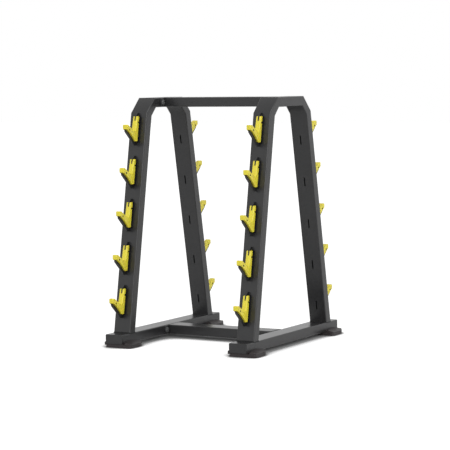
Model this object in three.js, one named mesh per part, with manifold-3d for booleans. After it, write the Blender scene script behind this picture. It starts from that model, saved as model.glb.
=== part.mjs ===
// Barbell storage rack: two leaning side frames of rectangular steel tube, joined by two cross beams,
// with hooks on the outside of every leg. A barbell lies across one hook of each side frame.
// Millimetres, +Z up, X across the rack, +Y to its rear. The front and rear legs carry the same hooks.

import * as THREE from 'three';
import { mergeVertices } from 'three/addons/utils/BufferGeometryUtils.js';
import Module from 'manifold-3d';

const wasm = await Module();
wasm.setup();

// Driving dimensions of the frame
const overall_height = 1525;
const frame_spacing = 880;
const tube_width = 120;
const tube_depth = 60;
const tube_corner_radius = 6;
const tube_wall = 3;
const joint_gap = 0.3;
const base_beam_length = 1180;
const leg_reach = 499;
const shoulder_reach = 259;
const shoulder_drop = 92;
const crown_reach = 166;
const elbow_depth = 55;

// Driving dimensions of a foot
const sole_height = 20;
const foot_length = 192;
const foot_overhang = 4;
const sole_inset = 4;
const ear_reach = 64;
const ear_height = 41;
const ear_outer_height = 30;
const ear_edge_radius = 12;
const ear_front_radius = 14;
const ear_rear_radius = 90;
const ledge_height = 24.5;
const ledge_length = 14;
const lobe_start = 76;
const lobe_end = 150;
const lobe_rear_height = 28;
const lug_reach = 9;
const lug_length = 22;
const lug_bottom = 14;
const lug_top = 34;
const niche_radius = 17;
const niche_from_front = 34;
const niche_from_beam = 18;
const niche_floor = 8;

// Driving dimensions of a beam flange and its bolts
const flange_thickness = 6;
const flange_ear_radius = 26;
const bolt_radius = 8;
const bolt_head_radius = 19;
const bolt_head_height = 9;
const bolt_head_clearance = 1;
const bolt_rim_height = 2.5;
const boss_radius = 15;
const boss_length = 10;

// Driving dimensions of a hook, measured from the top of its tip
const hooks_per_leg = 5;
const lowest_tip_height = 305;
const highest_tip_drop = 160;
const plate_thickness = 8;
const tab_height = 56;
const tab_recess = 8;
const plate_top = 68;
const plate_top_width = 19;
const plate_bottom = 133;
const plate_skirt = 15.5;
const liner_width = 33;
const liner_back_gap = 14;
const liner_bottom = 107;
const web_thickness = 7;
const tip_wall = 4;
const post_top = 48;
const post_front = 28;
const post_lean_degrees = 14.3;
const arm_rise_degrees = 33.4;
const crotch_radius = 16;
const tip_reach = 150;
const tip_land = 18;
const tip_drop = 28;
const belly_reach = 106;
const belly_drop = 60;
const heel_reach = 64;
const heel_drop = 105;
const heel_radius = 9;
const notch_depth = 28;
const edge_radius = 5;

// How finely the round stretches are drawn
const bevel_steps = 3;
const corner_steps = 3;
const curve_steps = 5;
const hole_sides = 16;
const bolt_sides = 20;
const dome_steps = 3;

// Derived dimensions
const half = 1 / 2;
const half_spacing = frame_spacing * half;
const half_width = tube_width * half;
const shoulder_height = overall_height - shoulder_drop;
const beam_top = sole_height + tube_depth;
const lean_slope = (leg_reach - shoulder_reach) / (shoulder_height - beam_top);
const lean = Math.atan(lean_slope);
const post_lean = THREE.MathUtils.degToRad(post_lean_degrees);
const arm_rise = THREE.MathUtils.degToRad(arm_rise_degrees);
const bolt_offset = half_width + bolt_head_radius + bolt_head_clearance;
const centring_shift = (lug_reach - ear_reach) * half;
const cutter_reach = overall_height;
const hook_pitch = (overall_height - highest_tip_drop - lowest_tip_height) / (hooks_per_leg - 1);
const slot_cut_reach = tube_depth + tube_wall;

const frame_paint = new THREE.MeshStandardMaterial({ color: 0x3f4041, roughness: 0.55, metalness: 0.2 });
const plate_paint = new THREE.MeshStandardMaterial({ color: 0x303133, roughness: 0.5, metalness: 0.2 });
const hook_yellow = new THREE.MeshStandardMaterial({ color: 0xddd03a, roughness: 0.45, metalness: 0 });
const foot_rubber = new THREE.MeshStandardMaterial({ color: 0x2e2e2f, roughness: 0.8, metalness: 0 });
const bolt_steel = new THREE.MeshStandardMaterial({ color: 0x8a8c8e, roughness: 0.35, metalness: 0.9 });

const sideways = new THREE.Matrix4().makeBasis(
  new THREE.Vector3(0, 1, 0),
  new THREE.Vector3(0, 0, 1),
  new THREE.Vector3(1, 0, 0),
);
const lengthways = new THREE.Matrix4().makeRotationX(Math.PI * half);

// Solids and geometries

function solidFrom(geometry) {
  const plain = geometry.index ? geometry.toNonIndexed() : geometry.clone();
  plain.deleteAttribute('normal');
  plain.deleteAttribute('uv');
  const merged = mergeVertices(plain);
  const corners = merged.attributes.position;
  const mesh = new wasm.Mesh({
    numProp: corners.itemSize,
    vertProperties: new Float32Array(corners.array),
    triVerts: new Uint32Array(merged.index.array),
  });
  return new wasm.Manifold(mesh);
}

function geometryFrom(solid) {
  const mesh = solid.getMesh();
  const geometry = new THREE.BufferGeometry();
  geometry.setAttribute('position', new THREE.Float32BufferAttribute(mesh.vertProperties, mesh.numProp));
  geometry.setIndex(Array.from(mesh.triVerts));
  geometry.computeVertexNormals();
  return geometry;
}

function block(low, high) {
  const size = new THREE.Vector3().subVectors(high, low);
  const centre = new THREE.Vector3().addVectors(low, high).multiplyScalar(half);
  const geometry = new THREE.BoxGeometry(size.x, size.y, size.z);
  geometry.translate(centre.x, centre.y, centre.z);
  return solidFrom(geometry);
}

// A shape of the Y-Z plane, made as thick as asked along X and centred on X = 0.
function slabAcrossX(shape, thickness, bevel) {
  const geometry = new THREE.ExtrudeGeometry(shape, {
    depth: thickness - bevel - bevel,
    curveSegments: corner_steps,
    bevelEnabled: bevel > 0,
    bevelSize: bevel,
    bevelOffset: -bevel,
    bevelThickness: bevel,
    bevelSegments: bevel_steps,
  });
  geometry.translate(0, 0, bevel - thickness * half);
  geometry.applyMatrix4(sideways);
  return solidFrom(geometry);
}

function cylinderAlongX(radius, x_low, x_high, y, z) {
  const geometry = new THREE.CylinderGeometry(radius, radius, x_high - x_low, hole_sides);
  geometry.rotateZ(Math.PI * half);
  geometry.translate((x_low + x_high) * half, y, z);
  return solidFrom(geometry);
}

// Flat outlines

function polygon(points) {
  return new THREE.Shape(points);
}

function roundedPolygon(corners) {
  // Each corner is [x, y, radius], and a radius above zero is drawn as an arc.
  const shape = new THREE.Shape();
  const points = corners.map(([x, y]) => new THREE.Vector2(x, y));
  corners.forEach(([, , radius], index) => {
    const here = points[index];
    const before = points[(index + points.length - 1) % points.length];
    const after = points[(index + 1) % points.length];
    if (!(radius > 0)) {
      addPoint(shape, here, index);
      return;
    }
    const back = new THREE.Vector2().subVectors(before, here).normalize();
    const forward = new THREE.Vector2().subVectors(after, here).normalize();
    const half_angle = back.angleTo(forward) * half;
    const run = radius / Math.tan(half_angle);
    const centre_distance = radius / Math.sin(half_angle);
    const bisector = new THREE.Vector2().addVectors(back, forward).normalize();
    const centre = here.clone().addScaledVector(bisector, centre_distance);
    const start = here.clone().addScaledVector(back, run);
    const end = here.clone().addScaledVector(forward, run);
    const start_angle = Math.atan2(start.y - centre.y, start.x - centre.x);
    const end_angle = Math.atan2(end.y - centre.y, end.x - centre.x);
    const turn = Math.atan2(Math.sin(end_angle - start_angle), Math.cos(end_angle - start_angle));
    addPoint(shape, start, index);
    for (let step = 1; step <= corner_steps; step += 1) {
      const angle = start_angle + (turn * step) / corner_steps;
      shape.lineTo(centre.x + radius * Math.cos(angle), centre.y + radius * Math.sin(angle));
    }
  });
  return shape;
}

function addPoint(shape, point, index) {
  if (index === 0) {
    shape.moveTo(point.x, point.y);
  } else {
    shape.lineTo(point.x, point.y);
  }
}

function roundedRectangle(width, height, radius) {
  const right = width * half;
  const top = height * half;
  return roundedPolygon([
    [-right, -top, radius],
    [right, -top, radius],
    [right, top, radius],
    [-right, top, radius],
  ]);
}

// A straight line of the Y-Z plane, moved sideways by a distance towards the inside of the frame.
function insetLine(from, to, distance) {
  const along = new THREE.Vector2().subVectors(to, from).normalize();
  const inward = new THREE.Vector2(-along.y, along.x);
  const start = from.clone().addScaledVector(inward, distance);
  return { start, along };
}

function meet(first, second) {
  const across = first.along.x * second.along.y - first.along.y * second.along.x;
  const apart = new THREE.Vector2().subVectors(second.start, first.start);
  const distance = (apart.x * second.along.y - apart.y * second.along.x) / across;
  return first.start.clone().addScaledVector(first.along, distance);
}

function levelLine(height) {
  return { start: new THREE.Vector2(0, height), along: new THREE.Vector2(1, 0) };
}

// Side frame

const leg_foot_point = new THREE.Vector2(leg_reach, beam_top);
const shoulder_point = new THREE.Vector2(shoulder_reach, shoulder_height);
const crown_point = new THREE.Vector2(crown_reach, overall_height);
const crown_centre = new THREE.Vector2(0, overall_height);

// The three outer faces of the rear half of the arch, each moved inward by its own distance.
function archCorners(leg_inset, elbow_inset, top_inset, floor_height) {
  const leg_line = insetLine(leg_foot_point, shoulder_point, leg_inset);
  const elbow_line = insetLine(shoulder_point, crown_point, elbow_inset);
  const top_line = insetLine(crown_point, crown_centre, top_inset);
  const foot_line = levelLine(floor_height);
  return [meet(leg_line, foot_line), meet(leg_line, elbow_line), meet(elbow_line, top_line)];
}

function archOutline(inset, floor_height) {
  const outer = archCorners(inset, inset, inset, floor_height);
  const inner = archCorners(tube_depth - inset, elbow_depth - inset, tube_depth - inset, floor_height);
  const mirrored = (point) => new THREE.Vector2(-point.x, point.y);
  return polygon([
    ...outer,
    ...outer.map(mirrored).reverse(),
    ...inner.map(mirrored),
    ...inner.slice().reverse(),
  ]);
}

const tube_arch = slabAcrossX(archOutline(0, 0), tube_width, tube_corner_radius);
const bore_arch = slabAcrossX(archOutline(tube_wall, -sole_height), tube_width - tube_wall - tube_wall, 0);
const hollow_arch = tube_arch.subtract(bore_arch);

// The mitre between an elbow and the top tube runs through the arch's outer and inner corners there.
const mitre_outer = archCorners(0, 0, 0, beam_top)[2];
const mitre_inner = archCorners(tube_depth, elbow_depth, tube_depth, beam_top)[2];
const mitre_line = insetLine(mitre_outer, mitre_inner, 0);

function mitreCutter(gap_shift) {
  const along = mitre_line.along;
  const outward = new THREE.Vector2(-along.y, along.x);
  const middle = mitre_outer.clone().addScaledVector(outward, gap_shift);
  const above = middle.clone().addScaledVector(along, -cutter_reach);
  const below = middle.clone().addScaledVector(along, cutter_reach);
  const far_above = above.clone().addScaledVector(outward, cutter_reach);
  const far_below = below.clone().addScaledVector(outward, cutter_reach);
  return polygon([above, below, far_below, far_above]);
}

function hookTipHeight(index) {
  return lowest_tip_height + hook_pitch * index;
}

function legFaceReach(height) {
  return shoulder_reach + (shoulder_height - height) * lean_slope;
}

// Directions of the leg's outer face in the hook's own Y-Z plane.
const face_normal = new THREE.Vector2(Math.cos(lean), Math.sin(lean));
const face_upward = new THREE.Vector2(-Math.sin(lean), Math.cos(lean));
const tab_root = new THREE.Vector2(plate_bottom * lean_slope, -plate_bottom);

function slotCutter(index) {
  const width = plate_thickness + joint_gap + joint_gap;
  const height = tab_height + joint_gap + joint_gap;
  const tip_height = hookTipHeight(index);
  const centre = tab_root.clone().addScaledVector(face_upward, tab_height * half);
  const geometry = new THREE.BoxGeometry(width, slot_cut_reach + slot_cut_reach, height);
  geometry.rotateX(lean);
  geometry.translate(0, legFaceReach(tip_height) + centre.x, tip_height + centre.y);
  return solidFrom(geometry);
}

function makeLeg() {
  const above_beam = block(
    new THREE.Vector3(-tube_width, 0, beam_top + joint_gap),
    new THREE.Vector3(tube_width, cutter_reach, overall_height + tube_depth),
  );
  const outside_mitre = slabAcrossX(mitreCutter(joint_gap), cutter_reach, 0);
  let leg = hollow_arch.intersect(above_beam).intersect(outside_mitre);
  for (let index = 0; index < hooks_per_leg; index += 1) {
    leg = leg.subtract(slotCutter(index));
  }
  return geometryFrom(leg);
}

// Tapped bosses stand inside a tube's wall behind the bolts of a beam flange.
function withBosses(solid, wall_x, height) {
  let result = solid;
  [-bolt_offset, bolt_offset].forEach((y) => {
    const boss_low = wall_x - tube_wall - boss_length;
    const boss = cylinderAlongX(boss_radius, boss_low, wall_x - tube_wall * half, y, height);
    const hole_low = boss_low - boss_length;
    const hole = cylinderAlongX(bolt_radius + joint_gap, hole_low, wall_x + boss_length, y, height);
    result = result.add(boss).subtract(hole);
  });
  return result;
}

function makeTopTube() {
  const cutter = slabAcrossX(mitreCutter(0), cutter_reach, 0);
  const above_rail = block(
    new THREE.Vector3(-tube_width, -cutter_reach, shoulder_height),
    new THREE.Vector3(tube_width, cutter_reach, overall_height + tube_depth),
  );
  const rear_cut = hollow_arch.intersect(above_rail).subtract(cutter);
  const tube = rear_cut.subtract(cutter.mirror([0, 1, 0]));
  return geometryFrom(withBosses(tube, half_width, overall_height - tube_depth * half));
}

function makeBaseBeam() {
  const section = roundedRectangle(tube_width, tube_depth, tube_corner_radius);
  const outer = new THREE.ExtrudeGeometry(section, { depth: base_beam_length, bevelEnabled: false });
  outer.translate(0, 0, -base_beam_length * half);
  outer.applyMatrix4(lengthways);
  outer.translate(0, 0, sole_height + tube_depth * half);
  const hollow_reach = new THREE.Vector3(
    half_width - tube_wall,
    base_beam_length * half - tube_wall,
    tube_depth * half - tube_wall,
  );
  const middle = new THREE.Vector3(0, 0, sole_height + tube_depth * half);
  const hollow = block(middle.clone().sub(hollow_reach), middle.clone().add(hollow_reach));
  return geometryFrom(withBosses(solidFrom(outer).subtract(hollow), half_width, middle.z));
}

// Cross beam with its welded end flanges, centred on its own origin

function stadium(half_length, radius) {
  const shape = new THREE.Shape();
  const straight = half_length - radius;
  shape.absarc(straight, 0, radius, -Math.PI * half, Math.PI * half, false);
  shape.absarc(-straight, 0, radius, Math.PI * half, Math.PI + Math.PI * half, false);
  return shape;
}

function makeCrossBeam() {
  const clear_length = frame_spacing - tube_width - joint_gap - joint_gap;
  const section = roundedRectangle(tube_width, tube_depth, tube_corner_radius);
  let beam = slabAcrossX(section, clear_length, 0);
  const flange_reach = bolt_offset + flange_ear_radius;
  const flange = slabAcrossX(stadium(flange_reach, flange_ear_radius), flange_thickness, 0);
  const flange_x = (clear_length - flange_thickness) * half;
  beam = beam.add(flange.translate([flange_x, 0, 0])).add(flange.translate([-flange_x, 0, 0]));
  const bore = roundedRectangle(tube_width - tube_wall - tube_wall, tube_depth - tube_wall - tube_wall, 0);
  beam = beam.subtract(slabAcrossX(bore, frame_spacing, 0));
  [-bolt_offset, bolt_offset].forEach((y) => {
    beam = beam.subtract(cylinderAlongX(bolt_radius + joint_gap, -half_spacing, half_spacing, y, 0));
  });
  return geometryFrom(beam);
}

// Flange bolt along X, its head's seat at the origin and its head towards +X
function makeBolt() {
  const shank_length = flange_thickness + tube_wall + boss_length;
  const profile = [
    new THREE.Vector2(0, -shank_length),
    new THREE.Vector2(bolt_radius, -shank_length),
    new THREE.Vector2(bolt_radius, 0),
    new THREE.Vector2(bolt_head_radius, 0),
  ];
  for (let step = 0; step < dome_steps; step += 1) {
    const angle = (Math.PI * half * step) / dome_steps;
    const rise = bolt_rim_height + (bolt_head_height - bolt_rim_height) * Math.sin(angle);
    profile.push(new THREE.Vector2(bolt_head_radius * Math.cos(angle), rise));
  }
  profile.push(new THREE.Vector2(0, bolt_head_height));
  const geometry = new THREE.LatheGeometry(profile, bolt_sides);
  geometry.rotateZ(-Math.PI * half);
  return geometryFrom(solidFrom(geometry));
}

// Foot: a sole under the beam's end, an ear beside it with a niche, and two lugs on the other side
function makeFoot() {
  const ear_edge = half_width + ear_reach;
  const front = -foot_length * half;
  const rear = foot_length * half;
  const plan = roundedPolygon([
    [-half_width + sole_inset, front, edge_radius],
    [ear_edge, front, ear_front_radius],
    [ear_edge, rear, ear_rear_radius],
    [-half_width + sole_inset, rear, edge_radius],
  ]);
  const sole_top = sole_height - joint_gap;
  const sole = new THREE.ExtrudeGeometry(plan, { depth: sole_top, bevelEnabled: false });
  const raised = new THREE.ExtrudeGeometry(plan, { depth: ear_height, bevelEnabled: false });
  const across = roundedPolygon([
    [half_width + joint_gap, -sole_height, 0],
    [ear_edge + edge_radius, -sole_height, 0],
    [ear_edge, ear_outer_height, ear_edge_radius],
    [half_width + joint_gap, ear_height, 0],
  ]);
  const ear = new THREE.ExtrudeGeometry(across, { depth: foot_length, bevelEnabled: false });
  ear.applyMatrix4(lengthways);
  ear.translate(0, rear, 0);
  const along = polygon([
    new THREE.Vector2(front - edge_radius, -sole_height),
    new THREE.Vector2(rear + edge_radius, -sole_height),
    new THREE.Vector2(rear + edge_radius, lobe_rear_height),
    new THREE.Vector2(rear, lobe_rear_height),
    new THREE.Vector2(front + lobe_end, ear_height),
    new THREE.Vector2(front + lobe_start, ear_height),
    new THREE.Vector2(front + ledge_length, ledge_height),
    new THREE.Vector2(front - edge_radius, ledge_height),
  ]);
  const lobe = slabAcrossX(along, cutter_reach, 0);
  let foot = solidFrom(sole).add(solidFrom(raised).intersect(solidFrom(ear)).intersect(lobe));
  const niche = new THREE.CylinderGeometry(niche_radius, niche_radius, ear_height, hole_sides);
  niche.rotateX(Math.PI * half);
  niche.translate(half_width + niche_from_beam, front + niche_from_front, niche_floor + ear_height * half);
  foot = foot.subtract(solidFrom(niche));
  [front, rear - lug_length].forEach((lug_start) => {
    const root = block(
      new THREE.Vector3(-half_width - lug_reach, lug_start + edge_radius, lug_bottom),
      new THREE.Vector3(-half_width + sole_inset + edge_radius, lug_start + lug_length - edge_radius, sole_top),
    );
    const lip = block(
      new THREE.Vector3(-half_width - lug_reach, lug_start + edge_radius, lug_bottom),
      new THREE.Vector3(-half_width - joint_gap, lug_start + lug_length - edge_radius, lug_top),
    );
    foot = foot.add(root).add(lip);
  });
  return geometryFrom(foot);
}

// Hook profiles, in the Y-Z plane of a rear hook: zero reach is the leg's face at the tip's height

function bellyCurve(drop) {
  const curve = new THREE.QuadraticBezierCurve(
    new THREE.Vector2(tip_reach, -tip_drop - drop),
    new THREE.Vector2(belly_reach, -belly_drop - drop),
    new THREE.Vector2(heel_reach, -heel_drop - drop),
  );
  return curve.getPoints(curve_steps);
}

// The two faces that the bar meets, each moved away from the bar by a depth.
function armLine(depth) {
  const start = new THREE.Vector2(tip_reach - tip_land, 0);
  const away = new THREE.Vector2(Math.sin(arm_rise), -Math.cos(arm_rise));
  const along = new THREE.Vector2(Math.cos(arm_rise), Math.sin(arm_rise));
  return { start: start.addScaledVector(away, depth), along };
}

function postLine(depth) {
  const start = new THREE.Vector2(post_front, post_top);
  const away = new THREE.Vector2(-Math.cos(post_lean), -Math.sin(post_lean));
  const along = new THREE.Vector2(-Math.sin(post_lean), Math.cos(post_lean));
  return { start: start.addScaledVector(away, depth), along };
}

function plateOutline() {
  const top_face = -plate_top * lean_slope;
  const crotch = meet(armLine(web_thickness), postLine(web_thickness));
  const post_end = meet(postLine(web_thickness), levelLine(post_top));
  const end_reach = tip_reach - tip_wall;
  const arm_end = meet(armLine(web_thickness), levelLine(-web_thickness));
  const belly = bellyCurve(plate_skirt);
  const tip_share = tip_wall / (tip_reach - belly[1].x);
  const step_inner = bellyCurve(0)[0].lerp(bellyCurve(0)[1], tip_share);
  const heel = belly[belly.length - 1];
  const heel_before = belly[belly.length - 2];
  const heel_run = ((heel.y + plate_bottom) * (heel_before.x - heel.x)) / (heel_before.y - heel.y);
  const root = tab_root.clone().addScaledVector(face_normal, joint_gap);
  const tab_length = tube_depth - tab_recess;
  const tab_low = tab_root.clone().addScaledVector(face_normal, -tab_length);
  const tab_high = tab_low.clone().addScaledVector(face_upward, tab_height);
  const root_high = root.clone().addScaledVector(face_upward, tab_height);
  return roundedPolygon([
    [top_face + joint_gap, plate_top, 0],
    [root_high.x, root_high.y, 0],
    [tab_high.x, tab_high.y, 0],
    [tab_low.x, tab_low.y, 0],
    [root.x, root.y, 0],
    [heel.x - heel_run, -plate_bottom, heel_radius],
    ...belly.slice(1).reverse().map((point) => [point.x, point.y, 0]),
    [tip_reach, -tip_drop - plate_skirt, 0],
    [tip_reach, -tip_drop - joint_gap, 0],
    [step_inner.x, step_inner.y - joint_gap, 0],
    [end_reach, arm_end.y, 0],
    [arm_end.x, arm_end.y, 0],
    [crotch.x, crotch.y, crotch_radius + web_thickness],
    [post_end.x, post_end.y, 0],
    [top_face + plate_top_width, plate_top, edge_radius],
  ]);
}

function linerOutline() {
  const crotch = meet(armLine(0), postLine(0));
  const back_top = liner_back_gap - post_top * lean_slope;
  const back_bottom = liner_back_gap + liner_bottom * lean_slope;
  const belly = bellyCurve(0);
  return roundedPolygon([
    [back_top, post_top, edge_radius],
    [back_bottom, -liner_bottom, edge_radius],
    [heel_reach, -liner_bottom, 0],
    ...belly.slice(1).reverse().map((point) => [point.x, point.y, 0]),
    [tip_reach, -tip_drop, 0],
    [tip_reach, 0, edge_radius],
    [tip_reach - tip_land, 0, edge_radius],
    [crotch.x, crotch.y, crotch_radius],
    [post_front, post_top, edge_radius],
  ]);
}

// The hollow of a liner that the plate fills: it is open behind and below, and at the top notch.
function plateHollowOutline() {
  const clear = web_thickness - joint_gap;
  const crotch = meet(armLine(clear), postLine(clear));
  const end_reach = tip_reach - tip_wall + joint_gap;
  const arm_end = meet(armLine(clear), levelLine(-clear));
  const notch_back = meet(postLine(clear), levelLine(post_top - notch_depth));
  return roundedPolygon([
    [-cutter_reach, plate_top + plate_top, 0],
    [-cutter_reach, -plate_bottom - plate_skirt, 0],
    [end_reach, -plate_bottom - plate_skirt, 0],
    [end_reach, arm_end.y, 0],
    [arm_end.x, arm_end.y, 0],
    [crotch.x, crotch.y, crotch_radius + clear],
    [notch_back.x, notch_back.y, 0],
    [tip_reach, notch_back.y, 0],
    [tip_reach, plate_top + plate_top, 0],
  ]);
}

function makeHookPlate() {
  return geometryFrom(slabAcrossX(plateOutline(), plate_thickness, 0));
}

function makeHookLiner() {
  const body = slabAcrossX(linerOutline(), liner_width, 0);
  const hollow = slabAcrossX(plateHollowOutline(), plate_thickness + joint_gap + joint_gap, 0);
  return geometryFrom(body.subtract(hollow));
}

// Assembly

function named(name, geometry, material) {
  const mesh = new THREE.Mesh(geometry, material);
  mesh.name = name;
  return mesh;
}

const leg_geometry = makeLeg();
const top_tube_geometry = makeTopTube();
const base_beam_geometry = makeBaseBeam();
const foot_geometry = makeFoot();
const cross_beam_geometry = makeCrossBeam();
const bolt_geometry = makeBolt();
const plate_geometry = makeHookPlate();
const liner_geometry = makeHookLiner();

// One leg with its hooks, for the rear of a side frame; the front one is the same, turned half round.
function hookedLeg(prefix) {
  const leg = new THREE.Group();
  leg.add(named(`${prefix}_leg`, leg_geometry, frame_paint));
  for (let index = 0; index < hooks_per_leg; index += 1) {
    const hook = new THREE.Group();
    hook.position.set(0, legFaceReach(hookTipHeight(index)), hookTipHeight(index));
    hook.add(named(`${prefix}_hook_plate_${index + 1}`, plate_geometry, plate_paint));
    hook.add(named(`${prefix}_hook_liner_${index + 1}`, liner_geometry, hook_yellow));
    leg.add(hook);
  }
  return leg;
}

function sideFrame(side, direction) {
  const frame = new THREE.Group();
  frame.position.x = direction * half_spacing;
  const rear_leg = hookedLeg(`${side}_rear`);
  const front_leg = hookedLeg(`${side}_front`);
  front_leg.rotation.z = Math.PI;
  frame.add(rear_leg, front_leg);
  const top_tube = named(`${side}_top_tube`, top_tube_geometry, frame_paint);
  const base_beam = named(`${side}_base_beam`, base_beam_geometry, frame_paint);
  // The bosses face the middle of the rack.
  const inward_turn = direction < 0 ? 0 : Math.PI;
  top_tube.rotation.z = inward_turn;
  base_beam.rotation.z = inward_turn;
  frame.add(top_tube, base_beam);
  const foot_centre = (base_beam_length - foot_length) * half + foot_overhang;
  const rear_foot = named(`${side}_rear_foot`, foot_geometry, foot_rubber);
  rear_foot.position.y = foot_centre;
  const front_foot = named(`${side}_front_foot`, foot_geometry, foot_rubber);
  front_foot.position.y = -foot_centre;
  frame.add(rear_foot, front_foot);
  return frame;
}

function crossBeam(name, height) {
  const beam = new THREE.Group();
  beam.position.z = height;
  beam.add(named(`${name}_cross_beam`, cross_beam_geometry, frame_paint));
  const seat_x = half_spacing - half_width - joint_gap - flange_thickness - joint_gap;
  const left_bolt = named(`${name}_left_flange_bolt`, bolt_geometry, bolt_steel);
  left_bolt.position.set(-seat_x, -bolt_offset, 0);
  const right_bolt = named(`${name}_right_flange_bolt`, bolt_geometry, bolt_steel);
  right_bolt.position.set(seat_x, -bolt_offset, 0);
  right_bolt.rotation.z = Math.PI;
  beam.add(left_bolt, right_bolt);
  return beam;
}

const group = new THREE.Group();
group.position.x = centring_shift;
group.add(sideFrame('left', -1), sideFrame('right', 1));
group.add(crossBeam('top', overall_height - tube_depth * half));
group.add(crossBeam('floor', sole_height + tube_depth * half));
group.updateMatrixWorld(true);

export default group;
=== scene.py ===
"""Barbell storage rack: the dressed model, the studio and the camera.

Sizes in the classes are millimetres, as in the workshop drawing, and Workpiece turns them to metres.
X runs across the rack, Y from its front to its rear and Z upwards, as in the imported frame.
"""
from __future__ import annotations

import logging
import math
from dataclasses import dataclass, field
from enum import Enum
from typing import Any, Callable, ClassVar, Iterable, Sequence

import bpy
from mathutils import Matrix, Vector


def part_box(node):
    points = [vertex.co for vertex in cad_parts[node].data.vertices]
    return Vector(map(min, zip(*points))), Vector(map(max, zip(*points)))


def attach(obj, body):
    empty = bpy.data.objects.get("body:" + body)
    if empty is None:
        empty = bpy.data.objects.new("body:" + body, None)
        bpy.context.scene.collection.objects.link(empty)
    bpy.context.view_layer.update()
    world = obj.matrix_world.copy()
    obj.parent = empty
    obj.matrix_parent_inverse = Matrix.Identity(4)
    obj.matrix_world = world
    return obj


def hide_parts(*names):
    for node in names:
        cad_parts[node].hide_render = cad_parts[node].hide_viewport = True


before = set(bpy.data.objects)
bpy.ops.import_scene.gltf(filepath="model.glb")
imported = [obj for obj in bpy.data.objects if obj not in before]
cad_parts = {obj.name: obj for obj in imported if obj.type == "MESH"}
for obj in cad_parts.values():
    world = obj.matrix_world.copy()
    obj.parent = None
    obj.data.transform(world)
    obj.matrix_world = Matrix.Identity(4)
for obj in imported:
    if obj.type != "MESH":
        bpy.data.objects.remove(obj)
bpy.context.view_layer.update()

LOG = logging.getLogger("rack")
MM = 0.001
ROOT = "root"
HOOKS_PER_LEG = 5
Corner = tuple[float, float, float]
Point = tuple[float, float]
EdgeTest = Callable[[Vector, Vector], bool]


class Side(Enum):
    """The two side frames."""

    LEFT = "left"
    RIGHT = "right"


class End(Enum):
    """The two ends of a side frame, with the turn that takes a rear piece there."""

    REAR = ("rear", 0.0)
    FRONT = ("front", math.pi)

    def __init__(self, label: str, turn: float) -> None:
        """Keeps the end's word in the node names, and its turn about Z from the rear end."""
        self.label = label
        self.turn = turn


class Level(Enum):
    """The two cross beams."""

    TOP = "top"
    FLOOR = "floor"


class Joining(Enum):
    """What a second solid does to the first."""

    CUT = "DIFFERENCE"
    ADD = "UNION"
    KEEP_COMMON = "INTERSECT"


class Slot(Enum):
    """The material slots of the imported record."""

    FRAME = "frame_paint"
    PLATE = "plate_paint"
    LINER = "hook_yellow"
    FOOT = "foot_rubber"
    STEEL = "bolt_steel"


# Materials


def linear(colour: str) -> tuple[float, float, float, float]:
    """Turns an sRGB hex colour to the linear values of a shader socket.

    Args:
        colour: Six hex digits.

    Returns:
        Linear red, green and blue, and an alpha of one.
    """
    parts = [int(colour[start:start + 2], 16) / 255 for start in (0, 2, 4)]
    red, green, blue = (p / 12.92 if p <= 0.04045 else ((p + 0.055) / 1.055) ** 2.4 for p in parts)
    return red, green, blue, 1.0


def add_node(tree: bpy.types.NodeTree, kind: str, values: dict[Any, Any] | None = None,
             links: dict[Any, bpy.types.NodeSocket] | None = None) -> bpy.types.Node:
    """Adds one shader node with its settings and its incoming links.

    Args:
        tree: The node tree.
        kind: The node's type name.
        values: Socket names or numbers with their constants, or attribute names with their settings.
        links: Socket names or numbers with the outputs that feed them.

    Returns:
        The new node.
    """
    node = tree.nodes.new(kind)
    for key, value in (values or {}).items():
        if isinstance(key, int) or key in node.inputs:
            node.inputs[key].default_value = value
        else:
            setattr(node, key, value)
    for key, source in (links or {}).items():
        tree.links.new(source, node.inputs[key])
    return node


def per_mm(size: float) -> float:
    """Gives a texture's scale, in repeats to a metre, for a pattern's size in millimetres."""
    return 1 / (size * MM)


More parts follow.
